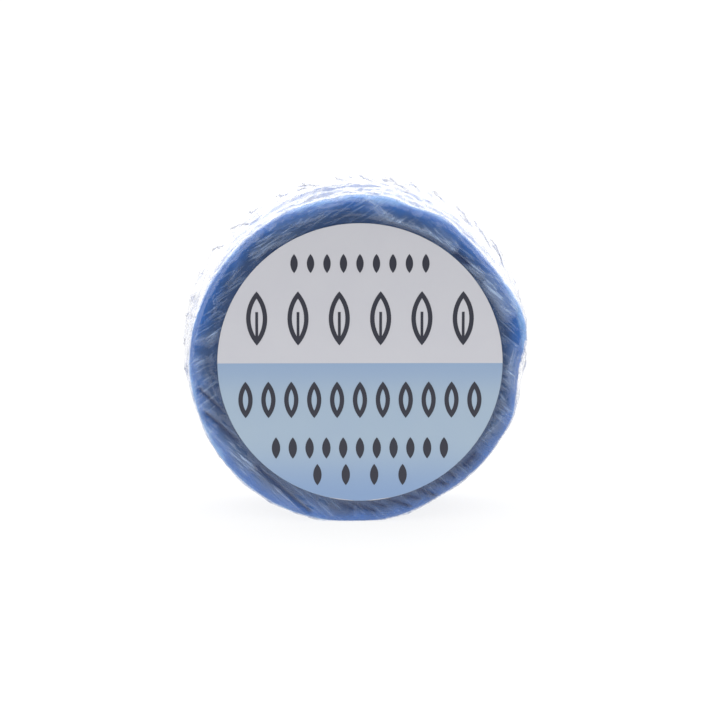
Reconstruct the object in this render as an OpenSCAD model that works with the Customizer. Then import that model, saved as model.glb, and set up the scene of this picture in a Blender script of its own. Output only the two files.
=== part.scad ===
// Round shaving soap in a clear film wrap, with a round label on its front and on its back.
// The puck stands on its rim. X runs across it, Y from the front face to the back, Z up.
// The origin is at the bottom centre of the whole packet.

/* [Soap] */
// Diameter of the soap at its front face
soap_d = 60; // [50:0.5:80]
// Thickness of the soap from face to face
soap_t = 20; // [14:0.5:30]
// Rounding of the soap's front and back edges
soap_edge_r = 1.5; // [1:0.25:4]
// Taper of the soap's radius towards the back, which lets it leave its mould
mould_draft = 0.6; // [0:0.1:1.5]
// Width of the flat that the soap stands on
foot_w = 9; // [6:0.5:18]

/* [Film wrap] */
// Wall of the film, drawn stouter than the real 0.03 so that it stays a solid
film_wall = 0.12; // [0.08:0.01:0.3]
// Room between the soap and the film at the faces and the rim
film_gap = 0.1; // [0.05:0.05:0.5]
// How much further the slack film stands off the soap round its back edge
film_slack = 1.8; // [0.5:0.1:3]
// Number of pleats that close the film at the back
pleat_count = 24; // [12:1:36]
// Width of one folded pleat
pleat_w = 1.6; // [0.6:0.1:2.4]
// Thickness of the folded film in a pleat
pleat_h = 0.25; // [0.15:0.05:0.6]
// Diameter of the middle of the back, where the pleats lie on each other
gather_d = 26; // [16:1:34]
// Diameter of the hole that the gathered film leaves in the middle
gather_hole_d = 6; // [3:0.5:12]

/* [Labels] */
// Flat film left showing round the front label, inside the soap's rounded edge
front_label_margin = 2.75; // [0.5:0.25:8]
// How far the front label sits to the right of the puck's axis
front_label_shift = 0.5; // [0:0.1:0.5]
// Height of the top edge of the printed lower field over the label's middle
tint_top = 0; // [-8:0.5:3]
// Pleated film left showing round the back label, which holds the gather shut
back_label_margin = 7.9; // [1:0.1:10]
// Thickness of the label paper
paper_t = 0.1; // [0.06:0.01:0.3]
// Thickness of the adhesive under a label
adhesive_t = 0.03; // [0.02:0.01:0.1]
// Thickness of one printed layer
ink_t = 0.02; // [0.01:0.01:0.05]

/* [Printed marks] */
// Diameter of the label that the marks are drawn for; they are scaled to the front label's own
artwork_d = 51.5; // [48:0.5:70]
// Height of the leaves in the top row
top_leaf_h = 3.5; // [2:0.1:5]
// Height of the leaves in the large row
large_leaf_h = 10; // [6:0.5:11]
// Height of the leaves in the row just under the field's edge
middle_leaf_h = 6.8; // [4:0.1:8]
// Height of the leaves in the two lowest rows
small_leaf_h = 4; // [2:0.1:4.5]
// Width of a leaf as a share of its height
leaf_slimness = 0.38; // [0.3:0.01:0.45]
// Line width of an open leaf's outline
outline_w = 0.8; // [0.4:0.05:0.9]
// Line width of the rib up the middle of a large leaf
rib_w = 0.5; // [0.3:0.05:0.8]

/* [Hidden] */

$fn = 128;
cut = 1;                                          // how far a cutting tool runs past what it cuts

soap_r = soap_d / 2;
soap_back_r = soap_r - mould_draft;
axis_h = film_wall + sqrt(soap_r * soap_r - foot_w * foot_w / 4);
front_label_d = 2 * (soap_r - soap_edge_r - front_label_margin);
back_label_d = 2 * (soap_back_r - soap_edge_r - back_label_margin);

// Depths are measured from the soap's front face, towards the back.
film_front = -film_gap - film_wall;
film_back = soap_t + film_gap + film_wall;
gather_back = film_back + pleat_h;
front_end = film_front - adhesive_t - paper_t - 2 * ink_t;
back_end = gather_back + adhesive_t + paper_t;
depth_middle = (front_end + back_end) / 2;
packet_r = soap_r + film_gap + film_slack + film_wall;   // no piece reaches further out

// Rows of printed leaves: [number, leaf height, row length, height over the label's middle, kind]
SOLID = 0;
OPEN = 1;
RIBBED = 2;
ROWS = [
    [9, top_leaf_h, 25, 18.4, SOLID],
    [6, large_leaf_h, 41, 8.3, RIBBED],
    [11, middle_leaf_h, 44, -6.8, OPEN],
    [11, small_leaf_h, 32, -15.8, SOLID],
    [4, small_leaf_h, 17, -20.8, SOLID]
];
rib_share = 0.62;                                 // how far up its leaf a rib runs

// Stands a solid of revolution, drawn with its front end down, on the puck's axis.
module on_axis()
    translate([0, -depth_middle, axis_h]) rotate([-90, 0, 0]) children();

// Lays a flat drawing on a plane at this depth, upright to someone who faces that side.
module on_front(depth)
    translate([front_label_shift, depth - depth_middle, axis_h]) rotate([90, 0, 0]) children();
module on_back(depth)
    translate([0, depth - depth_middle, axis_h]) rotate([90, 0, 180]) children();

// Everything above this height.
module above(height)
    translate([-packet_r - cut, -soap_t - cut, height])
        cube([2 * (packet_r + cut), 2 * (soap_t + cut), 2 * packet_r + cut]);

// Round body with both edges rounded. low and high are [radius, depth, edge radius] of its two
// ends; its side is the straight line that touches both edge arcs.
module rounded_body(low, high) {
    low_middle = [low[0] - low[2], low[1] + low[2]];
    high_middle = [high[0] - high[2], high[1] - high[2]];
    run = high_middle - low_middle;
    side_a = atan2(run[0], run[1]) + asin((high[2] - low[2]) / norm(run));
    outward = [cos(side_a), -sin(side_a)];
    rotate_extrude() {
        polygon([
            [0, low[1]], [low_middle[0], low[1]], low_middle + low[2] * outward,
            high_middle + high[2] * outward, [high_middle[0], high[1]], [0, high[1]]
        ]);
        for (edge = [[low_middle, low[2]], [high_middle, high[2]]])
            translate(edge[0]) circle(edge[1]);
    }
}

// The soap's shape grown by gap all round, and by slack round its back edge as well.
module soap_shape(gap, slack)
    rounded_body(
        [soap_r + gap, -gap, soap_edge_r + gap],
        [soap_back_r + gap + slack, soap_t + gap, soap_edge_r + gap + slack]
    );

// The folds of the film on the back, rooted halfway into its wall.
module pleats()
    translate([0, 0, film_back - film_wall / 2]) {
        cylinder(d = gather_d, h = film_wall / 2 + pleat_h);
        for (i = [0 : pleat_count - 1])
            rotate(i * 360 / pleat_count)
                translate([0, -pleat_w / 2, 0])
                    cube([soap_back_r - soap_edge_r, pleat_w, film_wall / 2 + pleat_h]);
    }

// A pointed oval, with both its arcs moved in by inset.
module pointed_oval(height, inset = 0) {
    width = height * leaf_slimness;
    arc_r = (height * height + width * width) / (4 * width);
    intersection_for (side = [-1, 1])
        translate([side * (arc_r - width / 2), 0]) circle(arc_r - inset);
}

module leaf(height, kind)
    difference() {
        pointed_oval(height);
        if (kind != SOLID)
            difference() {
                pointed_oval(height, outline_w);
                if (kind == RIBBED)
                    translate([-rib_w / 2, -height / 2]) square([rib_w, height * rib_share]);
            }
    }

module row_of_leaves(row) {
    pitch = (row[2] - row[1] * leaf_slimness) / (row[0] - 1);
    for (i = [0 : row[0] - 1])
        translate([(i - (row[0] - 1) / 2) * pitch, row[3]]) leaf(row[1], row[4]);
}

module label_disc(diameter, thickness)
    cylinder(d = diameter, h = thickness);

module soap_puck()
    color("#4A72AC")
        intersection() {
            on_axis() soap_shape(0, 0);
            above(film_wall);
        }

module film_wrap()
    color("#E8EDF4", 0.4)
        difference() {
            intersection() {
                on_axis() {
                    soap_shape(film_gap + film_wall, film_slack);
                    pleats();
                }
                above(0);
            }
            intersection() {
                on_axis() soap_shape(film_gap, film_slack);
                above(film_wall);
            }
            on_axis() translate([0, 0, soap_t]) cylinder(d = gather_hole_d, h = soap_t);
        }

module front_label_adhesive()
    color("#D9D7C8")
        on_front(film_front) label_disc(front_label_d, adhesive_t);

module front_label()
    color("#C4C5CA")
        on_front(film_front - adhesive_t) label_disc(front_label_d, paper_t);

module front_label_tint()
    color("#A4B7CF")
        on_front(film_front - adhesive_t - paper_t)
            intersection() {
                label_disc(front_label_d, ink_t);
                translate([-front_label_d, tint_top - 2 * front_label_d, -cut])
                    cube([2 * front_label_d, 2 * front_label_d, ink_t + 2 * cut]);
            }

module front_label_marks()
    color("#2D313C")
        for (row = ROWS)
            on_front(film_front - adhesive_t - paper_t - (row[3] < tint_top ? ink_t : 0))
                linear_extrude(ink_t) scale(front_label_d / artwork_d) row_of_leaves(row);

module back_label_adhesive()
    color("#D9D7C8")
        on_back(gather_back) label_disc(back_label_d, adhesive_t);

module back_label()
    color("#C4C5CA")
        on_back(gather_back + adhesive_t) label_disc(back_label_d, paper_t);

soap_puck();
film_wrap();
front_label_adhesive();
front_label();
front_label_tint();
front_label_marks();
back_label_adhesive();
back_label();
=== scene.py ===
"""Looks of a shaving soap puck in clear film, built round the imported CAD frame.

Shapes are worked out in millimetres and turned to metres as each mesh is made. A point on the
packet is given by its angle round the puck's axis, counted anticlockwise from +X as seen from
the front, its distance from that axis, and its depth along +Y.
"""
import math

import bmesh
import bpy
import numpy as np
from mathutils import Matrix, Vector


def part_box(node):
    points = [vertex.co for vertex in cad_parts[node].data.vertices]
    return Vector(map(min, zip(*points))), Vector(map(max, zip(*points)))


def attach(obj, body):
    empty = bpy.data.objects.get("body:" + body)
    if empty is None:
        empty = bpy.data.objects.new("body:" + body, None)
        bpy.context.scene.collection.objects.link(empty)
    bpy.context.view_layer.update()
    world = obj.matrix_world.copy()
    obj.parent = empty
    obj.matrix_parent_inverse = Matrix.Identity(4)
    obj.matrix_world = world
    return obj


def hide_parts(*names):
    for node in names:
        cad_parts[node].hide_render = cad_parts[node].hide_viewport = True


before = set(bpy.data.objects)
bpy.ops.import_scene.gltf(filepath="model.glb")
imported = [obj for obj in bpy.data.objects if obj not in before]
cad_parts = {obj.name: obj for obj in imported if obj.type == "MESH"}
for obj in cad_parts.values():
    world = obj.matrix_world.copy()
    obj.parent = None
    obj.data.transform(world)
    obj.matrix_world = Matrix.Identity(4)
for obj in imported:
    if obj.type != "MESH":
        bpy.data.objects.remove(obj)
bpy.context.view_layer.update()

MM = 0.001


def box_mm(node):
    """The lowest and highest corners of a CAD node, in millimetres."""
    low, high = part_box(node)
    return np.array(low) / MM, np.array(high) / MM


SOAP_LOW, SOAP_HIGH = box_mm("soap_puck")
FILM_LOW, FILM_HIGH = box_mm("film_wrap")
LABEL_LOW, LABEL_HIGH = box_mm("front_label")
BACK_LOW, BACK_HIGH = box_mm("back_label")

# Soap
SOAP_R = (SOAP_HIGH[0] - SOAP_LOW[0]) / 2
AXIS_Z = SOAP_HIGH[2] - SOAP_R
SOAP_SWELL = 0.15                  # how far the real puck's rim bulges past the drawn one
SOAP_FRONT, SOAP_BACK = SOAP_LOW[1], SOAP_HIGH[1]
SOAP_EDGE = 1.5
SOAP_DRAFT = 0.6

# Film
FILM_WALL = 0.03                   # real thickness of the film
FILM_FRONT = SOAP_FRONT - 0.2
FILM_BACK = SOAP_BACK + 0.22
FILM_R_FRONT = SOAP_R + SOAP_SWELL + 0.15
FILM_R_BACK = (FILM_HIGH[0] - FILM_LOW[0]) / 2
FILM_EDGE_FRONT = SOAP_EDGE + 0.2
FILM_EDGE_BACK = 3.6
GATHER_HOLE_R = 3.0
PLEATS = 40
FOLD_GAP = 0.11                    # room between two layers of a folded pleat
FLOOR_SOFTNESS = 0.1               # height over the floor at which the film starts to lie down on it
MOST_VEIL = 0.5                    # the film is never milkier than this
CLING = 1.6                        # how quickly film drawn onto the soap loses its shine

# Labels
LABEL_R = (LABEL_HIGH[0] - LABEL_LOW[0]) / 2
LABEL_X = (LABEL_HIGH[0] + LABEL_LOW[0]) / 2
PAPER = 0.1
ADHESIVE = 0.03
INK = 0.02
BACK_LABEL_R = (BACK_HIGH[0] - BACK_LOW[0]) / 2


# ---------------------------------------------------------------- shapes of surfaces

def smoothstep(low, high, x):
    t = np.clip((x - low) / (high - low), 0.0, 1.0)
    return t * t * (3 - 2 * t)


def waves(points, length, seed, count=9):
    """Smooth noise of about -1 to 1: a sum of sine waves of about this length in all directions."""
    rng = np.random.default_rng(seed)
    total = np.zeros(len(points))
    for _ in range(count):
        way = rng.normal(size=3)
        way *= 2 * math.pi / (np.linalg.norm(way) * length * rng.uniform(0.7, 1.4))
        total += np.sin(points @ way + rng.uniform(0, 2 * math.pi))
    return total / math.sqrt(count)


def creases(points, length, seed, count=5):
    """Noise of flat facets that meet in sharp lines, as crumpled film has, of about -1 to 1."""
    rng = np.random.default_rng(seed)
    total = np.zeros(len(points))
    for i in range(count):
        way = rng.normal(size=3)
        way /= np.linalg.norm(way) * length * rng.uniform(0.7, 1.5)
        phase = points @ way + 0.35 * waves(points, 2.2 * length, seed + 31 * i + 1, 5)
        fade = smoothstep(-0.6, 0.8, waves(points, 1.7 * length, seed + 57 * i + 2, 5))
        total += fade * (4 * np.abs((phase + rng.uniform()) % 1 - 0.5) - 1)
    return total / math.sqrt(count)


# How far the film's front outline stands off a true circle, in mm, at angles in degrees.
OUTLINE = [
    (0, -0.45), (5, 0.25), (9, 0.9), (13, 1.15), (18, 1.05), (23, 0.6), (29, 0.1), (40, -0.3),
    (60, 0.3), (70, 0.0), (80, 0.55), (90, 0.4), (100, 0.0), (137, -0.05), (190, 0.25),
    (215, 0.5), (240, 0.6), (262, 0.3),
    (275, 0.1), (300, -0.6), (325, -0.35), (340, 0.0), (347, -0.5), (353, -0.8), (360, -0.6),
]

# Creases across the front ring: start angle and radius, end angle and radius, height, width.
FRONT_CREASES = [
    (87.5, 30.2, 82, 28.2, 0.52, 0.4),
    (82, 28.2, 77, 26.9, 0.55, 0.45),
    (77, 26.9, 63, 27.0, 0.50, 0.6),
    (63, 27.0, 50, 27.6, 0.40, 0.7),
    (60, 28.6, 50, 28.2, 0.18, 0.5),
    (92, 30.2, 108, 28.2, 0.22, 0.6),
    (108, 28.2, 122, 29.0, 0.18, 0.6),
    (133, 28.0, 112, 25.9, 0.28, 0.4),
    (129, 28.9, 116, 27.3, 0.18, 0.35),
    (148, 27.2, 138, 28.4, 0.14, 0.3),
    (172, 30.2, 167, 25.6, 0.26, 0.4),
    (176, 29.2, 206, 28.9, 0.20, 0.8),
    (188, 29.4, 200, 25.6, 0.28, 0.5),
    (192, 30.0, 214, 26.6, 0.26, 0.5),
    (203, 29.6, 249, 29.0, 0.32, 0.6),
    (246, 27.2, 254, 29.2, 0.22, 0.35),
    (255, 26.3, 261, 28.6, 0.16, 0.35),
    (-31, 27.0, -20, 28.4, 0.26, 0.6),
    (-13, 26.8, -18, 29.5, 0.22, 0.5),
    (6, 28.4, -8, 28.6, 0.42, 0.35),
    (3, 29.2, -11, 29.3, 0.34, 0.3),
    (44, 26.7, 30, 29.9, 0.34, 0.7),
    (33, 27.4, 18, 29.0, 0.42, 1.1),
    (26, 28.6, 20, 30.3, 0.24, 0.5),
]

# Lines where the film is drawn tight onto the soap, along which the soap gets painted crease shade: ends as
# above, width.
TIGHT_LINES = [
    (189, 28.9, 200, 25.8, 0.26),
    (198, 28.9, 214, 25.9, 0.30),
    (226, 26.4, 253, 29.0, 0.26),
    (-97, 26.2, -91, 27.4, 0.26),
    (-92, 26.2, -83, 28.0, 0.28),
    (-85, 26.0, -79, 27.4, 0.22),
    (-78, 26.0, -70, 28.6, 0.28),
    (-72, 26.0, -66, 27.8, 0.22),
    (-65, 26.0, -60, 28.8, 0.32),
    (-57, 26.3, -54, 28.2, 0.26),
    (-51, 26.0, -50, 28.0, 0.36),
    (-47, 26.1, -45, 27.2, 0.26),
    (-45, 27.3, -38, 27.3, 0.50),
    (49, 26.9, 42, 27.2, 0.35),
]


def outline_offset(angle):
    """The outline's stand-off at these angles, in radians, eased from one listed angle to the next."""
    degrees = np.degrees(angle) % 360
    stops = np.array([a for a, _ in OUTLINE], float)
    values = np.array([v for _, v in OUTLINE], float)
    left = np.clip(np.searchsorted(stops, degrees, side="right") - 1, 0, len(stops) - 2)
    share = smoothstep(stops[left], stops[left + 1], degrees)
    return values[left] + (values[left + 1] - values[left]) * share


def ridge(x, z, start_a, start_r, end_a, end_r, width):
    """A ridge of height 1 from one point across the front to another, x and z from the puck's axis."""
    start = start_r * np.array([math.cos(math.radians(start_a)), math.sin(math.radians(start_a))])
    end = end_r * np.array([math.cos(math.radians(end_a)), math.sin(math.radians(end_a))])
    run = end - start
    length = np.linalg.norm(run)
    run = run / length
    along = (x - start[0]) * run[0] + (z - start[1]) * run[1]
    across = (z - start[1]) * run[0] - (x - start[0]) * run[1]
    fall = np.where(across > 0, np.exp(-across / width), np.exp(across / (1.8 * width)))
    return fall * smoothstep(-0.8, 0.6, along) * smoothstep(-0.8, 0.6, length - along)


def front_creases(x, z):
    """Height of the listed creases at points across the front."""
    return sum(height * ridge(x, z, *ends, width) for *ends, height, width in FRONT_CREASES)


def tight_lines(x, z):
    """How tightly the film is drawn onto the soap at points across the front, from 0 to 1."""
    return np.max([ridge(x, z, *line) for line in TIGHT_LINES], axis=0)


def face_wave(x, z):
    """The slight waviness of the front face under the label; x and z are from the puck's axis."""
    flat = np.column_stack([x, np.zeros(len(x)), z])
    return 0.035 * waves(flat, 19.0, 5) + 0.012 * waves(flat, 7.0, 6)


def make_mesh(name, points_mm, faces, smooth=True):
    """A mesh object from points in millimetres."""
    mesh = bpy.data.meshes.new(name)
    mesh.from_pydata((np.asarray(points_mm) * MM).tolist(), [], [tuple(f) for f in faces])
    mesh.validate()
    mesh.update()
    mesh.polygons.foreach_set("use_smooth", [smooth] * len(mesh.polygons))
    obj = bpy.data.objects.new(name, mesh)
    bpy.context.scene.collection.objects.link(obj)
    return obj


def paint(obj, name, values):
    """A value at each point of the mesh, for its material to read. Values are held between 0 and 1."""
    attribute = obj.data.attributes.new(name, "FLOAT", "POINT")
    attribute.data.foreach_set("value", np.clip(values, 0.0, 1.0).astype(np.float32))


def grid_faces(rows, columns, wrap, first=0, flip=False):
    """Quads between the points of a grid stored row by row. wrap joins the last column to the first."""
    steps = columns if wrap else columns - 1
    row, column = np.meshgrid(np.arange(rows - 1), np.arange(steps), indexing="ij")
    after = (column + 1) % columns
    quads = np.stack([
        row * columns + column, row * columns + after,
        (row + 1) * columns + after, (row + 1) * columns + column,
    ], axis=-1).reshape(-1, 4) + first
    return quads[:, ::-1] if flip else quads


def sharpen(obj, degrees=40):
    """Smooth shading that keeps edges sharper than this angle."""
    bm = bmesh.new()
    bm.from_mesh(obj.data)
    for edge in bm.edges:
        edge.smooth = edge.is_manifold and edge.calc_face_angle(0.0) < math.radians(degrees)
    bm.to_mesh(obj.data)
    bm.free()


# ---------------------------------------------------------------- soap

def rounded_meridian(r_front, front, edge_front, r_back, back, edge_back, steps):
    """Points (radius, depth, outward radius part, outward depth part) from the front plane's rim
    round both edges to the back plane's rim. steps is [front edge, side, back edge]."""
    front_middle = np.array([r_front - edge_front, front + edge_front])
    back_middle = np.array([r_back - edge_back, back - edge_back])
    run = back_middle - front_middle
    turn = math.atan2(run[0], run[1]) + math.asin((edge_back - edge_front) / np.linalg.norm(run))
    rows = []
    for a in np.linspace(-math.pi / 2, -turn, steps[0]):
        way = np.array([math.cos(a), math.sin(a)])
        rows.append([*(front_middle + edge_front * way), *way])
    first, last = front_middle + edge_front * way, back_middle + edge_back * way
    for t in np.linspace(0, 1, steps[1] + 2)[1:-1]:
        rows.append([*(first + (last - first) * t), *way])
    for a in np.linspace(-turn, math.pi / 2, steps[2]):
        way = np.array([math.cos(a), math.sin(a)])
        rows.append([*(back_middle + edge_back * way), *way])
    return np.array(rows)


SOAP_COLUMNS = 420


def make_soap():
    """The pressed puck: soft edges, a hand-worn outline and a flat foot."""
    columns = SOAP_COLUMNS
    edge = rounded_meridian(
        SOAP_R + SOAP_SWELL, SOAP_FRONT, SOAP_EDGE, SOAP_R - SOAP_DRAFT, SOAP_BACK, SOAP_EDGE,
        [12, 14, 10],
    )
    radii = [*np.linspace(0.6, 24.0, 9), *np.linspace(25.0, edge[0, 0], 14)[:-1]]
    front = [[r, SOAP_FRONT, 0.0, -1.0] for r in radii]
    back = [[r, SOAP_BACK, 0.0, 1.0] for r in np.linspace(edge[-1, 0], 0.6, 14)[1:]]
    meridian = np.array([*front, *edge.tolist(), *back])
    angle = np.linspace(0, 2 * math.pi, columns, endpoint=False)
    radius, depth, out_r, out_y = (np.repeat(meridian[:, i], columns) for i in range(4))
    angle = np.tile(angle, len(meridian))
    dent = outline_offset(angle)
    fade = 1 - smoothstep(SOAP_FRONT + 3, SOAP_BACK - 2, depth)
    radius = radius + smoothstep(0.6 * SOAP_R, SOAP_R, radius) * fade * dent
    points = np.column_stack([radius * np.cos(angle), depth, radius * np.sin(angle)])
    worn = 0.05 * waves(points, 14.0, 11) + 0.02 * waves(points, 4.0, 12)
    worn = np.minimum(worn - 0.05, 0.02)                 # wear only takes soap away
    points += worn[:, None] * np.column_stack([out_r * np.cos(angle), out_y, out_r * np.sin(angle)])
    on_face = 1 - smoothstep(SOAP_FRONT + 0.5, SOAP_FRONT + 2, depth)
    # Painted crease shade: the soap is painted darker along the lines where the film is drawn tight.
    tight_and_shade = tight_lines(points[:, 0], points[:, 2]) * on_face
    points[:, 2] = np.maximum(points[:, 2] + AXIS_Z, 2 * FILM_WALL)
    rows = len(meridian)
    faces = grid_faces(rows, columns, wrap=True).tolist()
    middles = [[0, points[:columns, 1].mean(), AXIS_Z], [0, points[-columns:, 1].mean(), AXIS_Z]]
    n = rows * columns
    for i in range(columns):
        j = (i + 1) % columns
        faces.append((n, j, i))
        faces.append((n + 1, n - columns + i, n - columns + j))
    soap = make_mesh("soap", np.vstack([points, middles]), faces)
    paint(soap, "tight_and_shade", [*tight_and_shade, 0.0, 0.0])
    return soap


# ---------------------------------------------------------------- film

def pleat_columns():
    """For each pleat, its share of the turn and its own habits: where it lies, how wide, how stiff."""
    rng = np.random.default_rng(21)
    widths = rng.uniform(0.75, 1.25, PLEATS)
    starts = np.concatenate([[0], np.cumsum(widths / widths.sum())])[:-1] * 2 * math.pi
    return {
        "start": starts,
        "turn": widths / widths.sum() * 2 * math.pi,
        "middle": rng.uniform(0.42, 0.58, PLEATS),
        "width": rng.uniform(0.7, 1.3, PLEATS),
        "onset": rng.uniform(-2.0, 5.0, PLEATS),
    }


# A pleat's columns: how many lie on each of its stretches.
FLAT_COLUMNS, TURN_COLUMNS, MIDDLE_COLUMNS = 3, 3, 1


def pleat_section(middle, width, pitch):
    """The cross-section of one pleat: across (0 to 1 of the pleat's share) and height in mm, for a
    fold of this width, also a share. pitch is the share's length in mm."""
    high = 2 * FOLD_GAP
    turn_r = FOLD_GAP / 2 / pitch                        # a turn's radius as a share
    crest, root = middle + width / 2, middle - width / 2
    across, height = [], []
    for u in np.linspace(0, 1, FLAT_COLUMNS, endpoint=False):
        across.append(u * crest)
        height.append(high * smoothstep(0.0, max(root / crest, 0.25), u))
    for a in np.linspace(math.pi / 2, -math.pi / 2, TURN_COLUMNS):
        across.append(crest + turn_r * math.cos(a))
        height.append(high - FOLD_GAP / 2 * (1 - math.sin(a)))
    for u in np.linspace(0, 1, MIDDLE_COLUMNS + 2)[1:-1]:
        across.append(crest - u * width)
        height.append(FOLD_GAP)
    for a in np.linspace(math.pi / 2, 3 * math.pi / 2, TURN_COLUMNS):
        across.append(root + turn_r * math.cos(a))
        height.append(FOLD_GAP / 2 + FOLD_GAP / 2 * math.sin(a))
    for u in np.linspace(0, 1, FLAT_COLUMNS, endpoint=False):
        across.append(root + u * (1 - root))
        height.append(0.0)
    return np.array(across), np.array(height)


def make_film():
    """The wrap: one sheet, flat on the front, pleated over the rim and gathered at the back."""
    edge = rounded_meridian(
        FILM_R_FRONT, FILM_FRONT, FILM_EDGE_FRONT, FILM_R_BACK, FILM_BACK, FILM_EDGE_BACK, [12, 36, 16])
    radii = [0.5, 6, 12, 18, 22, 24, *np.linspace(24.8, edge[0, 0], 24)[:-1]]
    front = [[r, FILM_FRONT, 0.0, -1.0] for r in radii]
    back = [[r, FILM_BACK, 0.0, 1.0] for r in np.linspace(edge[-1, 0], GATHER_HOLE_R, 38)[1:]]
    meridian = np.array([*front, *edge.tolist(), *back])
    rows = len(meridian)
    travel = np.concatenate([[0], np.cumsum(np.linalg.norm(np.diff(meridian[:, :2], axis=0), axis=1))])
    travel += meridian[0, 0]                             # a point's distance from the sheet's middle
    pleats = pleat_columns()
    per_pleat = 2 * FLAT_COLUMNS + 2 * TURN_COLUMNS + MIDDLE_COLUMNS
    columns = PLEATS * per_pleat
    angle = np.zeros((rows, columns))
    height = np.zeros((rows, columns))
    flat = np.zeros(columns)
    for k in range(PLEATS):
        even = pleats["turn"][k] * np.arange(per_pleat) / per_pleat
        flat[k * per_pleat:(k + 1) * per_pleat] = pleats["start"][k] + even
    for i in range(rows):
        r = meridian[i, 0]
        spare = max(travel[i] / r - 1, 0.0)
        for k in range(PLEATS):
            at = slice(k * per_pleat, (k + 1) * per_pleat)
            late = smoothstep(34.0 + pleats["onset"][k], 50.0 + pleats["onset"][k], travel[i])
            width = min(spare / 2 * pleats["width"][k] * late, 0.86)
            across, high = pleat_section(pleats["middle"][k], max(width, 1e-4), pleats["turn"][k] * r)
            folded = float(smoothstep(0.0, 0.06, width))
            pleated = pleats["start"][k] + pleats["turn"][k] * across
            angle[i, at] = flat[at] * (1 - folded) + pleated * folded
            height[i, at] = high * folded
    lie = np.column_stack([
        (30 * np.cos(angle)).ravel(), np.repeat(travel, columns), (30 * np.sin(angle)).ravel()])
    sway = 0.035 * waves(lie, 14.0, 77).reshape(rows, columns) + 0.28
    angle = angle + sway * smoothstep(29, 60, travel)[:, None]
    radius = np.repeat(meridian[:, 0], columns)
    depth = np.repeat(meridian[:, 1], columns)
    out_r = np.repeat(meridian[:, 2], columns)
    out_y = np.repeat(meridian[:, 3], columns)
    went = np.repeat(travel, columns)
    angle, height = angle.ravel(), height.ravel()

    # Distances along the film from the middle of its front: the rim is at about 30 mm, the back edge
    # at about 50 and the gather at 77.
    base = np.column_stack([radius * np.cos(angle), depth, radius * np.sin(angle)])
    x, z = base[:, 0], base[:, 2]
    towards_back = smoothstep(30.0, 46.0, went)
    spread = outline_offset(angle) * smoothstep(24.5, 30.0, went) * (1 - towards_back)
    slack = towards_back * (1 - smoothstep(52.0, 60.0, went))
    spread = spread + slack * 0.35 * waves(base, 22.0, 3)
    on_front = 1 - smoothstep(29.0, 32.0, went)
    free = smoothstep(LABEL_R + 0.1, LABEL_R + 1.2, np.hypot(x - LABEL_X, z))
    tight_and_shade = on_front * tight_lines(x, z) * free
    laid = on_front * front_creases(x, z) * free * (1 - tight_and_shade)
    round_rim = np.column_stack([6 * np.cos(angle), radius, 6 * np.sin(angle)])
    over_rim = np.column_stack([30 * np.cos(angle), radius / 4, 30 * np.sin(angle)])
    steep = smoothstep(0.35, 0.8, np.cos(angle - math.radians(-50)))    # where creases run over the rim
    streaks = (1 - steep) * creases(round_rim, 1.1, 51) + steep * creases(over_rim, 1.4, 52)
    streaks *= on_front * free
    crumpled = smoothstep(26.5, 33.0, went) * (1 - 0.65 * smoothstep(50.0, 56.0, went))
    crumpled = crumpled * (1 - smoothstep(58.0, 62.0, went))
    squeezed = base * np.array([1.0, 2.0, 1.0])           # creases run round the rim more than over it
    rough = 0.22 * creases(squeezed, 9.0, 41) + 0.18 * creases(squeezed, 4.5, 43)
    small = creases(base, 2.0, 47)
    fine = (0.02 + 0.05 * crumpled) * small * free
    lift = laid - 0.12 * tight_and_shade + crumpled * rough + fine + 0.10 * streaks
    lift = np.maximum(lift, -0.12 - 0.5 * slack)
    lift += (1 - smoothstep(25.0, 27.5, went)) * face_wave(x, z)

    out = lift + height
    r = radius + spread + out * out_r
    y = depth + out * out_y
    z = r * np.sin(angle) + AXIS_Z
    soft = FLOOR_SOFTNESS
    z = np.where(z < soft, soft * np.exp(np.minimum(z / soft - 1, 0)), z)
    middle = np.column_stack([r * np.cos(angle), y, z])

    # How milky the film is: most where it stands off the soap or lies in folds.
    clouds = smoothstep(0.1, 1.4, waves(base, 6.0, 61)) * smoothstep(-0.6, 0.9, creases(base, 3.0, 62))
    streaky = (0.06 + 0.06 * steep) * smoothstep(0.3, 1.2, streaks)
    veil = 0.02 + free * (0.68 * laid + 0.03 * clouds + streaky)
    veil *= 1 - 0.9 * tight_and_shade
    round_side = smoothstep(29.8, 32.5, went)
    near_front = 1 - smoothstep(32.0, 39.0, went)
    clearer_behind = 1 - 0.85 * smoothstep(40.0, 52.0, went)
    veil += round_side * (0.17 + 0.12 * near_front + 0.13 * clouds) * clearer_behind

    # Sharp folds, which get painted grey shade in the film's haze and a duller shine: short arcs that
    # mostly run round the rim.
    arcs = waves(squeezed, 7.0, 71) + 0.5 * waves(base, 3.0, 72)
    short = smoothstep(-0.1, 0.7, waves(base, 5.0, 73))
    fold = (1 - smoothstep(0.1, 0.5, np.abs(arcs))) * short * round_side
    fold = np.maximum(fold, 0.6 * smoothstep(0.8, 1.5, waves(squeezed, 8.0, 74)) * round_side)
    fold = fold * (1 - 0.8 * smoothstep(48.0, 54.0, went))
    veil = veil + 0.25 * fold
    fold = np.maximum(fold, CLING * tight_and_shade)                # drawn onto the soap, it shines as little

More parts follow.
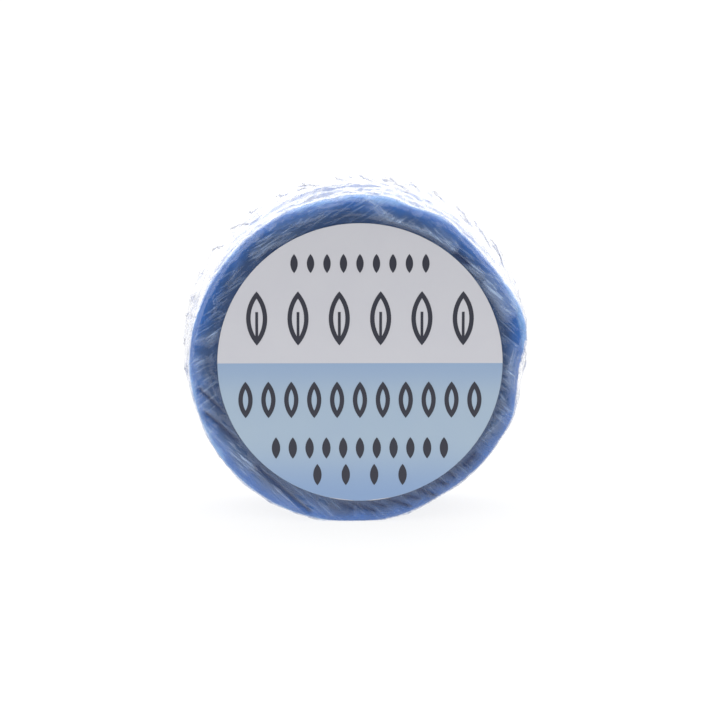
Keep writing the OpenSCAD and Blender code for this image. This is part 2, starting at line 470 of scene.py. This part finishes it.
    grid = middle.reshape(rows, columns, 3)
    along = np.roll(grid, -1, axis=1) - np.roll(grid, 1, axis=1)
    down = np.gradient(grid, axis=0)
    normal = np.cross(along, down)
    normal /= np.maximum(np.linalg.norm(normal, axis=2, keepdims=True), 1e-9)
    normal = normal.reshape(-1, 3)
    centre_way = np.column_stack([out_r * np.cos(angle), out_y, out_r * np.sin(angle)])
    if np.mean(np.einsum("ij,ij->i", normal, centre_way)) < 0:
        normal = -normal
    outer, inner = middle + normal * FILM_WALL / 2, middle - normal * FILM_WALL / 2
    count = rows * columns
    faces = grid_faces(rows, columns, wrap=True).tolist()
    faces += grid_faces(rows, columns, wrap=True, first=count, flip=True).tolist()
    hubs = [outer[:columns].mean(0), inner[:columns].mean(0)]
    last = count - columns
    for i in range(columns):
        j = (i + 1) % columns
        faces.append((2 * count, j, i))
        faces.append((2 * count + 1, count + i, count + j))
        faces.append((last + i, last + j, count + last + j, count + last + i))
    film = make_mesh("film", np.vstack([outer, inner, hubs]), faces)
    veil = np.minimum(veil, MOST_VEIL)
    paint(film, "veil", [*veil, *veil, veil[0], veil[0]])
    paint(film, "fold", [*fold, *fold, fold[0], fold[0]])
    return film


# ---------------------------------------------------------------- labels

def make_disc(name, x_middle, radius, near, far, wave, step=1.3, segments=200):
    """A thin round sheet from depth near to depth far that follows wave(x, z)."""
    radii = np.append(np.linspace(0.8, radius, int(radius / step)), radius)
    angle = np.linspace(0, 2 * math.pi, segments, endpoint=False)
    r = np.repeat(radii[:-1], segments)
    a = np.tile(angle, len(radii) - 1)
    x, z = x_middle + r * np.cos(a), r * np.sin(a)
    bend = wave(x, z)
    middle_bend = wave(np.array([x_middle]), np.array([0.0]))[0]
    sides = [np.column_stack([x, y + bend, z + AXIS_Z]) for y in (near, far)]
    rows, count = len(radii) - 1, len(x)
    faces = grid_faces(rows, segments, wrap=True, flip=True).tolist()
    faces += grid_faces(rows, segments, wrap=True, first=count).tolist()
    hubs = [[x_middle, near + middle_bend, AXIS_Z], [x_middle, far + middle_bend, AXIS_Z]]
    last = count - segments
    for i in range(segments):
        j = (i + 1) % segments
        faces.append((2 * count, i, j))
        faces.append((2 * count + 1, count + j, count + i))
        faces.append((last + j, last + i, count + last + i, count + last + j))
    obj = make_mesh(name, np.vstack([*sides, hubs]), faces)
    sharpen(obj)
    return obj


def make_field(name, x_middle, radius, near, far, wave, step=1.3):
    """A thin printed field that covers the lower half of a label."""
    heights = np.linspace(-radius * 0.9995, 0, int(radius / step) * 2)
    across = np.linspace(-1, 1, int(2 * radius / step))
    z = np.repeat(heights, len(across))
    x = x_middle + np.tile(across, len(heights)) * np.sqrt(np.maximum(radius ** 2 - z ** 2, 0))
    bend = wave(x, z)
    sides = [np.column_stack([x, y + bend, z + AXIS_Z]) for y in (near, far)]
    rows, columns = len(heights), len(across)
    count = rows * columns
    faces = grid_faces(rows, columns, wrap=False, flip=False).tolist()
    faces += grid_faces(rows, columns, wrap=False, first=count, flip=True).tolist()
    border = [
        *range(columns), *(r * columns + columns - 1 for r in range(1, rows)),
        *(count - 1 - c for c in range(1, columns)), *(r * columns for r in range(rows - 2, 0, -1)),
    ]
    for a, b in zip(border, [*border[1:], border[0]]):
        faces.append((b, a, count + a, count + b))
    obj = make_mesh(name, np.vstack(sides), faces)
    sharpen(obj)
    return obj


def make_print(name, node, wave, lift, step=1.5):
    """A copy of a flat CAD node, cut finely enough to follow wave(x, z) on the label."""
    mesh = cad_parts[node].data.copy()
    mesh.name = name
    bm = bmesh.new()
    bm.from_mesh(mesh)
    bmesh.ops.remove_doubles(bm, verts=bm.verts, dist=1e-7)
    low, high = box_mm(node)
    for axis in (0, 2):
        for cut in np.arange(low[axis] + step / 2, high[axis], step):
            at, way = [0.0] * 3, [0.0] * 3
            at[axis], way[axis] = cut * MM, 1.0
            bmesh.ops.bisect_plane(bm, geom=[*bm.verts, *bm.edges, *bm.faces], plane_co=at, plane_no=way)
    x = np.array([v.co.x for v in bm.verts]) / MM
    z = np.array([v.co.z for v in bm.verts]) / MM - AXIS_Z
    for v, bend in zip(bm.verts, wave(x, z)):
        v.co.y += (bend - lift) * MM
    bm.to_mesh(mesh)
    bm.free()
    obj = bpy.data.objects.new(name, mesh)
    bpy.context.scene.collection.objects.link(obj)
    return obj


def front_wave(x, z):
    """Depth of the front face's waviness: towards the viewer is negative."""
    return -face_wave(x, z)


def back_wave(x, z):
    """Depth of the back label, which shows the pleats under it a little."""
    angle, r = np.arctan2(z, x), np.hypot(x, z)
    fans = np.sin(PLEATS * (angle - 1.1)) + 0.6 * np.sin((PLEATS - 5) * angle + 1.0)
    telegraphed = 0.035 * fans * smoothstep(5.0, 14.0, r)
    flat = np.column_stack([x, np.zeros(len(x)), z])
    return telegraphed + 0.06 * waves(flat, 15.0, 8)


# ---------------------------------------------------------------- materials

def srgb(code):
    """A hex colour as linear RGBA."""
    parts = [int(code[i:i + 2], 16) / 255 for i in (0, 2, 4)]
    linear = [p / 12.92 if p <= 0.04045 else ((p + 0.055) / 1.055) ** 2.4 for p in parts]
    return (*linear, 1.0)


def per_mm(size):
    """The scale of a pattern whose features are size millimetres across."""
    return 1 / (size * MM)


def add(tree, kind, inputs=(), **settings):
    """A node with these settings, whose inputs are values or other nodes' outputs."""
    made = tree.nodes.new(kind)
    for name, value in settings.items():
        setattr(made, name, value)
    for name, value in dict(inputs).items():
        if isinstance(value, bpy.types.NodeSocket):
            tree.links.new(value, made.inputs[name])
        else:
            made.inputs[name].default_value = value
    return made


def new_material(name):
    """An empty material: its tree and its output node."""
    material = bpy.data.materials.new(name)
    material.use_nodes = True
    material.node_tree.nodes.clear()
    return material, material.node_tree, material.node_tree.nodes.new("ShaderNodeOutputMaterial")


def from_axis(tree, where):
    """How far a point is from the puck's axis, in metres."""
    apart = add(tree, "ShaderNodeSeparateXYZ", {0: where})
    height = add(tree, "ShaderNodeMath", {0: apart.outputs["Z"], 1: AXIS_Z * MM}, operation="SUBTRACT")
    flat = add(tree, "ShaderNodeCombineXYZ", {"X": apart.outputs["X"], "Y": height.outputs[0]})
    return add(tree, "ShaderNodeVectorMath", {0: flat.outputs[0]}, operation="LENGTH").outputs["Value"]


# Radii, in mm, between which the soap's face turns to a painted glow at its rim, and that glow to a
# brighter painted glow at its outermost lip.
RIM_FROM, RIM_TO = 28.2, 31.4
LIP_FROM, LIP_TO = 31.1, 32.2


def milled_soap():
    """Milled soap, dyed in the mass and pressed: deep blue, with a painted glow towards its rim, a brighter
    painted glow on its outermost lip near the front, and painted crease shade along the lines where the
    film is drawn tight.
    """
    material, tree, out = new_material("milled_soap")
    where = add(tree, "ShaderNodeTexCoord").outputs["Object"]
    cloud = add(tree, "ShaderNodeTexNoise", {
        "Vector": where, "Scale": per_mm(6), "Detail": 4, "Roughness": 0.6})
    grain = add(tree, "ShaderNodeTexNoise", {"Vector": where, "Scale": per_mm(0.5), "Detail": 3})
    wavy = add(tree, "ShaderNodeMath", {0: cloud.outputs["Fac"], 1: 3 * MM}, operation="MULTIPLY")
    reach = add(tree, "ShaderNodeMath", {0: from_axis(tree, where), 1: wavy.outputs[0]}, operation="ADD")
    # Painted glow: the soap's colour turns a lighter blue towards its rim.
    rim = add(tree, "ShaderNodeMapRange", {
        "Value": reach.outputs[0], "From Min": RIM_FROM * MM, "From Max": RIM_TO * MM,
    }, interpolation_type="SMOOTHSTEP")
    face = add(tree, "ShaderNodeMix", {
        0: cloud.outputs["Fac"], 6: srgb("18355E"), 7: srgb("224C82")}, data_type="RGBA")
    # Painted glow: a still lighter blue on the outermost lip, strongest at the front edge.
    painted_lip_glow = add(tree, "ShaderNodeMapRange", {
        "Value": reach.outputs[0], "From Min": LIP_FROM * MM, "From Max": LIP_TO * MM,
    }, interpolation_type="SMOOTHSTEP")
    painted_rim_glow = add(tree, "ShaderNodeMix", {
        0: rim.outputs[0], 6: face.outputs[2], 7: srgb("1F63B2")}, data_type="RGBA")
    depth = add(tree, "ShaderNodeSeparateXYZ", {0: where}).outputs["Y"]
    near_front = add(tree, "ShaderNodeMapRange", {
        "Value": depth, "From Min": (SOAP_FRONT + 2) * MM, "From Max": (SOAP_FRONT + 8) * MM,
        "To Min": 1.0, "To Max": 0.4})
    lit = add(tree, "ShaderNodeMath", {
        0: painted_lip_glow.outputs[0], 1: near_front.outputs[0]}, operation="MULTIPLY")
    colour = add(tree, "ShaderNodeMix", {
        0: lit.outputs[0], 6: painted_rim_glow.outputs[2], 7: srgb("74A2D8")}, data_type="RGBA")
    dots = add(tree, "ShaderNodeTexVoronoi", {"Vector": where, "Scale": per_mm(1.6)})
    speck = add(tree, "ShaderNodeMapRange", {
        "Value": dots.outputs["Distance"], "From Min": 0.10, "From Max": 0.04, "To Max": 0.5})
    colour = add(tree, "ShaderNodeMix", {
        0: speck.outputs[0], 6: colour.outputs[2], 7: srgb("7E9CC8")}, data_type="RGBA")
    # Painted crease shade: a deeper, darker blue along those lines.
    tight_and_shade = add(tree, "ShaderNodeAttribute", attribute_name="tight_and_shade")
    painted_crease_shade = add(tree, "ShaderNodeMapRange", {"Value": tight_and_shade.outputs["Fac"], "From Max": 0.8})
    colour = add(tree, "ShaderNodeMix", {
        0: painted_crease_shade.outputs[0], 6: colour.outputs[2], 7: srgb("0A2A58")}, data_type="RGBA")
    rough = add(tree, "ShaderNodeMapRange", {
        "Value": cloud.outputs["Fac"], "To Min": 0.38, "To Max": 0.55})
    bump = add(tree, "ShaderNodeBump", {
        "Height": grain.outputs["Fac"], "Strength": 0.25, "Distance": 0.05 * MM})
    shader = add(tree, "ShaderNodeBsdfPrincipled", {
        "Base Color": colour.outputs[2], "Roughness": rough.outputs[0], "IOR": 1.47,
        "Subsurface Weight": 0.15, "Subsurface Radius": (0.3, 0.6, 1.0), "Subsurface Scale": 1.0 * MM,
        "Normal": bump.outputs[0],
    })
    tree.links.new(shader.outputs[0], out.inputs[0])
    return material


CREASE_LENGTH, CREASE_WIDTH = 5.0, 0.45              # a fine crease's size, in mm
CLIMB, FALL = 33, -42                                # how creases lean on the front, in degrees
BACK_CREASE_R = 24                                   # the radius at which the back's creases are sized
BACK_CREASE_WIDTH, BACK_CREASE_LENGTH = 0.7, 9


def drawn_out(tree, where, lean, along, across):
    """Noise pulled out into lines that lean this many degrees from level; sizes in millimetres."""
    way = Vector((math.cos(math.radians(lean)), 0, math.sin(math.radians(lean))))
    axes = [
        way * per_mm(along), Vector((0, 1, 0)) * per_mm(along), Vector((-way.z, 0, way.x)) * per_mm(across)]
    parts = []
    for axis in axes:
        part = add(tree, "ShaderNodeVectorMath", {0: where, 1: tuple(axis)}, operation="DOT_PRODUCT")
        parts.append(part.outputs["Value"])
    place = add(tree, "ShaderNodeCombineXYZ", {"X": parts[0], "Y": parts[1], "Z": parts[2]})
    noise = add(tree, "ShaderNodeTexNoise", {
        "Vector": place.outputs[0], "Scale": 1.0, "Detail": 3, "Roughness": 0.6, "Distortion": 0.4})
    return noise.outputs["Fac"]


def crease_lines(tree, where):
    """Fine creases of pulled film. Seen from the front they climb to the right on the upper left and
    fall to the right elsewhere, and on the back they run towards the gather."""
    climbing = drawn_out(tree, where, CLIMB, CREASE_LENGTH, CREASE_WIDTH)
    falling = drawn_out(tree, where, FALL, CREASE_LENGTH, CREASE_WIDTH)
    corner = add(tree, "ShaderNodeVectorMath", {0: where, 1: (-1, 0, 1)}, operation="DOT_PRODUCT")
    upper_left = add(tree, "ShaderNodeMapRange", {
        "Value": corner.outputs["Value"],
        "From Min": (AXIS_Z + 5) * MM, "From Max": (AXIS_Z + 25) * MM})
    noise = add(tree, "ShaderNodeMix", {0: upper_left.outputs[0], 2: falling, 3: climbing})
    apart = add(tree, "ShaderNodeSeparateXYZ", {0: where})
    height = add(tree, "ShaderNodeMath", {0: apart.outputs["Z"], 1: AXIS_Z * MM}, operation="SUBTRACT")
    turn = add(tree, "ShaderNodeMath", {
        0: height.outputs[0], 1: apart.outputs["X"]}, operation="ARCTAN2")
    around = add(tree, "ShaderNodeMath", {
        0: turn.outputs[0], 1: BACK_CREASE_R / BACK_CREASE_WIDTH}, operation="MULTIPLY")
    outwards = add(tree, "ShaderNodeMath", {
        0: from_axis(tree, where), 1: per_mm(BACK_CREASE_LENGTH)}, operation="MULTIPLY")
    place = add(tree, "ShaderNodeCombineXYZ", {"X": around.outputs[0], "Y": outwards.outputs[0]})
    radial = add(tree, "ShaderNodeTexNoise", {"Vector": place.outputs[0], "Scale": 1.0, "Detail": 3})
    behind = add(tree, "ShaderNodeMapRange", {
        "Value": apart.outputs["Y"], "From Min": 5 * MM, "From Max": 9 * MM})
    noise = add(tree, "ShaderNodeMix", {
        0: behind.outputs[0], 2: noise.outputs[0], 3: radial.outputs["Fac"]})
    line = add(tree, "ShaderNodeMapRange", {
        "Value": noise.outputs[0], "From Min": 0.50, "From Max": 0.68}, interpolation_type="SMOOTHSTEP")
    return line.outputs[0]


GLANCE = 4.2                       # how late the film turns into a mirror as it is seen edge on
HEAD_ON = 0.03                     # what it reflects when it is seen head on
CREASED_SHINE = 0.41875            # the share of its shine that a fold or crease keeps
LINE_MILK = 0.08                   # how milky a fine crease is by itself


def clear_film():
    """Clear polypropylene film: see-through head on, a mirror at a glance, milky where it is creased, with
    painted grey shade in its haze at folds and painted blue soap light in its haze on the front.
    """
    material, tree, out = new_material("clear_polypropylene_film")
    where = add(tree, "ShaderNodeTexCoord").outputs["Object"]
    line = crease_lines(tree, where)
    fine = add(tree, "ShaderNodeTexNoise", {
        "Vector": where, "Scale": per_mm(2.2), "Detail": 3, "Roughness": 0.55})
    relief = add(tree, "ShaderNodeMath", {
        0: line, 1: 0.3, 2: fine.outputs["Fac"]}, operation="MULTIPLY_ADD")
    bump = add(tree, "ShaderNodeBump", {
        "Height": relief.outputs[0], "Strength": 0.5, "Distance": 0.12 * MM})
    facing = add(tree, "ShaderNodeLayerWeight", {"Blend": 0.5, "Normal": bump.outputs[0]})
    power = add(tree, "ShaderNodeMath", {0: facing.outputs["Facing"], 1: GLANCE}, operation="POWER")
    mirrored = add(tree, "ShaderNodeMapRange", {
        "Value": power.outputs[0], "To Min": HEAD_ON, "To Max": 1.0})
    clear = add(tree, "ShaderNodeBsdfTransparent", {"Color": (0.995, 0.995, 0.998, 1)})
    gloss = add(tree, "ShaderNodeBsdfGlossy", {
        "Color": srgb("FFFFFF"), "Roughness": 0.08, "Normal": bump.outputs[0]})
    depth = add(tree, "ShaderNodeSeparateXYZ", {0: where}).outputs["Y"]
    round_side = add(tree, "ShaderNodeMapRange", {
        "Value": depth, "From Min": -9.8 * MM, "From Max": -8.0 * MM})
    # Painted light from the soap: the haze is tinted blue on the front, over the soap, and is white on the
    # round side.
    milk_and_painted_soap_light = add(tree, "ShaderNodeMix", {
        0: round_side.outputs[0], 6: srgb("BCD1EE"), 7: srgb("F7F7FA")}, data_type="RGBA")
    fold = add(tree, "ShaderNodeAttribute", attribute_name="fold")
    # Painted crease shade: the haze turns grey where the film is folded or drawn tight.
    haze_with_painted_fold_shade = add(tree, "ShaderNodeMix", {
        0: fold.outputs["Fac"], 6: milk_and_painted_soap_light.outputs[2], 7: srgb("B2BAD0")}, data_type="RGBA")
    haze = add(tree, "ShaderNodeBsdfDiffuse", {"Color": haze_with_painted_fold_shade.outputs[2]})
    veil = add(tree, "ShaderNodeAttribute", attribute_name="veil")
    drawn = add(tree, "ShaderNodeMapRange", {"Value": line, "To Min": 0.5, "To Max": 1.6})
    patchy = add(tree, "ShaderNodeMath", {
        0: veil.outputs["Fac"], 1: drawn.outputs[0]}, operation="MULTIPLY")
    milky = add(tree, "ShaderNodeMath", {
        0: line, 1: LINE_MILK, 2: patchy.outputs[0]}, operation="MULTIPLY_ADD")
    body = add(tree, "ShaderNodeMixShader", {
        0: milky.outputs[0], 1: clear.outputs[0], 2: haze.outputs[0]})
    creased = add(tree, "ShaderNodeMath", {0: fold.outputs["Fac"], 1: line}, operation="MAXIMUM")
    dulled = add(tree, "ShaderNodeMapRange", {
        "Value": creased.outputs[0], "To Min": 1.0, "To Max": CREASED_SHINE})
    shine = add(tree, "ShaderNodeMath", {
        0: mirrored.outputs[0], 1: dulled.outputs[0]}, operation="MULTIPLY")
    surface = add(tree, "ShaderNodeMixShader", {
        0: shine.outputs[0], 1: body.outputs[0], 2: gloss.outputs[0]})
    tree.links.new(surface.outputs[0], out.inputs[0])
    return material


def coated_paper(name, light, dark, roughness, edge=None):
    """Coated label paper: smooth and even, with faint cloudy fibre and a satin surface.
    edge is the colour that a printed field darkens to at its top and bottom; towards the bottom, near the
    floor, this is painted shade."""
    material, tree, out = new_material(name)
    where = add(tree, "ShaderNodeTexCoord").outputs["Object"]
    cloud = add(tree, "ShaderNodeTexNoise", {
        "Vector": where, "Scale": per_mm(9), "Detail": 5, "Roughness": 0.65})
    fibre = add(tree, "ShaderNodeTexNoise", {"Vector": where, "Scale": per_mm(0.35), "Detail": 2})
    colour = add(tree, "ShaderNodeMix", {
        0: cloud.outputs["Fac"], 6: srgb(light), 7: srgb(dark)}, data_type="RGBA")
    bump = add(tree, "ShaderNodeBump", {
        "Height": fibre.outputs["Fac"], "Strength": 0.15, "Distance": 0.02 * MM})
    base = colour.outputs[2]
    if edge:
        # Painted shade towards the bottom of the field, near the floor; the field also darkens a little
        # towards its top.
        height = add(tree, "ShaderNodeSeparateXYZ", {0: where}).outputs["Z"]
        below = add(tree, "ShaderNodeMapRange", {
            "Value": height, "From Min": (AXIS_Z - 14) * MM, "From Max": (AXIS_Z - 25) * MM,
        }, interpolation_type="SMOOTHSTEP")
        above = add(tree, "ShaderNodeMapRange", {
            "Value": height, "From Min": (AXIS_Z - 7) * MM, "From Max": AXIS_Z * MM, "To Max": 0.6,
        }, interpolation_type="SMOOTHSTEP")
        ends = add(tree, "ShaderNodeMath", {0: below.outputs[0], 1: above.outputs[0]}, operation="ADD")
        shaded = add(tree, "ShaderNodeMix", {0: ends.outputs[0], 6: base, 7: srgb(edge)}, data_type="RGBA")
        base = shaded.outputs[2]
    shader = add(tree, "ShaderNodeBsdfPrincipled", {
        "Base Color": base, "Roughness": roughness, "IOR": 1.45, "Normal": bump.outputs[0]})
    tree.links.new(shader.outputs[0], out.inputs[0])
    return material


def label_glue():
    """Dried acrylic adhesive: a clear, faintly yellow layer, seen only at a label's rim."""
    material, tree, out = new_material("acrylic_adhesive")
    where = add(tree, "ShaderNodeTexCoord").outputs["Object"]
    mottle = add(tree, "ShaderNodeTexNoise", {"Vector": where, "Scale": per_mm(2)})
    colour = add(tree, "ShaderNodeMix", {
        0: mottle.outputs["Fac"], 6: srgb("D8D6CC"), 7: srgb("C6C4B8")}, data_type="RGBA")
    shader = add(tree, "ShaderNodeBsdfPrincipled", {"Base Color": colour.outputs[2], "Roughness": 0.35})
    tree.links.new(shader.outputs[0], out.inputs[0])
    return material


def lit_board():
    """White acrylic lit from below, as under a product: it keeps shadows faint."""
    material, tree, out = new_material("lit_white_acrylic")
    shader = add(tree, "ShaderNodeBsdfPrincipled", {
        "Base Color": (0.17, 0.17, 0.17, 1), "Roughness": 0.9, "Specular IOR Level": 0.0,
        "Emission Color": srgb("FFFFFF"), "Emission Strength": 0.81,
    })
    tree.links.new(shader.outputs[0], out.inputs[0])
    return material


def dress(obj, material):
    obj.data.materials.clear()
    obj.data.materials.append(material)
    return obj


# ---------------------------------------------------------------- camera, light and floor

def aim_camera():
    """A long lens a little above the puck, aimed at the label's middle."""
    target = Vector((LABEL_X, LABEL_LOW[1], AXIS_Z)) * MM
    azimuth, elevation, distance = math.radians(-0.5), math.radians(13.5), 0.7
    level = math.cos(elevation)
    way = Vector((math.sin(azimuth) * level, -math.cos(azimuth) * level, math.sin(elevation)))
    data = bpy.data.cameras.new("camera")
    camera = bpy.data.objects.new("camera", data)
    bpy.context.scene.collection.objects.link(camera)
    camera.location = target + way * distance
    camera.rotation_mode = "QUATERNION"
    camera.rotation_quaternion = (-way).to_track_quat("-Z", "Y")
    shown_width = 0.130                                  # metres across the view at the label
    data.lens = data.sensor_width * distance / shown_width
    data.shift_y = 0.0045
    data.clip_start, data.clip_end = 0.05, 20
    bpy.context.scene.camera = camera


# Patches of light in the tent: the way they lie, the cosines between which they fade in, strength.
LIGHTS = [
    ((0.0, 1.0, 0.0), -0.15, 0.45, 1.6),                 # the whole of the lit wall behind
    ((0.0, 0.75, 0.66), 0.93, 0.97, -1.0),               # the gap between that wall and the roof
    ((0.0, 0.0, 1.0), 0.45, 0.9, 0.9),                   # the roof
    ((-0.8, -0.5, 0.3), 0.84, 0.93, 1.7),                # a soft box on the left
    ((0.85, -0.42, 0.3), 0.88, 0.95, 1.7),               # and one on the right
    ((0.1, -0.75, 0.66), 0.90, 0.95, 1.3),               # and one over the camera
]
ROOM_GLOW = 0.15


def light_tent():
    """A bright wall behind, a softer roof, three soft boxes, and a dim room towards the viewer."""
    world = bpy.data.worlds.new("light_tent")
    bpy.context.scene.world = world
    world.use_nodes = True
    tree = world.node_tree
    tree.nodes.clear()
    way = add(tree, "ShaderNodeTexCoord").outputs["Generated"]
    glow = ROOM_GLOW
    for axis, start, full, strength in LIGHTS:
        axis = tuple(Vector(axis).normalized())
        towards = add(tree, "ShaderNodeVectorMath", {0: way, 1: axis}, operation="DOT_PRODUCT")
        patch = add(tree, "ShaderNodeMapRange", {
            "Value": towards.outputs["Value"], "From Min": start, "From Max": full, "To Max": strength,
        }, interpolation_type="SMOOTHSTEP")
        glow = add(tree, "ShaderNodeMath", {0: patch.outputs[0], 1: glow}, operation="ADD").outputs[0]
    tinted = add(tree, "ShaderNodeMix", {
        0: 1.0, 6: (0.99, 0.995, 1.01, 1), 7: glow}, data_type="RGBA", blend_type="MULTIPLY")
    seen = add(tree, "ShaderNodeLightPath").outputs["Is Camera Ray"]
    shown = add(tree, "ShaderNodeMix", {
        0: seen, 6: tinted.outputs[2], 7: srgb("FFFFFF")}, data_type="RGBA")
    background = add(tree, "ShaderNodeBackground", {"Color": shown.outputs[2], "Strength": 1.0})
    out = add(tree, "ShaderNodeOutputWorld")
    tree.links.new(background.outputs[0], out.inputs[0])


FLOOR_SIDE, FLOOR_FRONT, FLOOR_BACK = 1500, -125, 2500


def make_floor():
    """A white board that ends a hand's breadth in front of the puck."""
    corners = [
        [-FLOOR_SIDE, FLOOR_FRONT, 0], [FLOOR_SIDE, FLOOR_FRONT, 0],
        [FLOOR_SIDE, FLOOR_BACK, 0], [-FLOOR_SIDE, FLOOR_BACK, 0],
    ]
    floor = make_mesh("floor", corners, [(0, 1, 2, 3)])
    dress(floor, lit_board())


bpy.context.scene.view_settings.view_transform = "Standard"
bpy.context.scene.cycles.transparent_max_bounces = 64    # a line of sight crosses many folds of film
bpy.context.scene.cycles.glossy_bounces = 12
bpy.context.scene.cycles.max_bounces = 16
aim_camera()
light_tent()
make_floor()

# ---------------------------------------------------------------- the packet

FRONT_FACE = FILM_FRONT - FILM_WALL / 2
LABEL_FACE = FRONT_FACE - ADHESIVE - PAPER
BACK_FACE = BACK_LOW[1] - ADHESIVE

soap = dress(make_soap(), milled_soap())
film = dress(make_film(), clear_film())
glue = label_glue()
paper = coated_paper("coated_label_paper", "C3C3CA", "CACACE", 0.5)
blue_ink = coated_paper("blue_offset_print", "A3B5C4", "9DB0C5", 0.5, edge="869FC2")
dark_ink = coated_paper("dark_offset_print", "34343E", "2E303C", 0.45)

front_glue = dress(make_disc(
    "front_glue", LABEL_X, LABEL_R, FRONT_FACE, FRONT_FACE - ADHESIVE, front_wave), glue)
front_paper = dress(make_disc(
    "front_paper", LABEL_X, LABEL_R, FRONT_FACE - ADHESIVE, LABEL_FACE, front_wave), paper)
front_field = dress(make_field(
    "front_blue_field", LABEL_X, LABEL_R, LABEL_FACE, LABEL_FACE - INK, front_wave), blue_ink)
marks_lift = LABEL_LOW[1] - LABEL_FACE
front_marks = dress(make_print(
    "front_leaf_marks", "front_label_marks", front_wave, marks_lift), dark_ink)
back_glue = dress(make_disc(
    "back_glue", 0.0, BACK_LABEL_R, BACK_FACE + ADHESIVE, BACK_FACE, back_wave), glue)
back_paper = dress(make_disc(
    "back_paper", 0.0, BACK_LABEL_R, BACK_HIGH[1], BACK_LOW[1], back_wave), paper)

STANDS_FOR = [
    (soap, "soap_puck", "soap"),
    (film, "film_wrap", "clear_film"),
    (front_glue, "front_label_adhesive", "label_adhesive"),
    (front_paper, "front_label", "label_paper"),
    (front_field, "front_label_tint", "blue_print"),
    (front_marks, "front_label_marks", "dark_print"),
    (back_glue, "back_label_adhesive", "label_adhesive"),
    (back_paper, "back_label", "label_paper"),
]
for piece, cad_node, slot in STANDS_FOR:
    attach(piece, "root")
    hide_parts(cad_node)
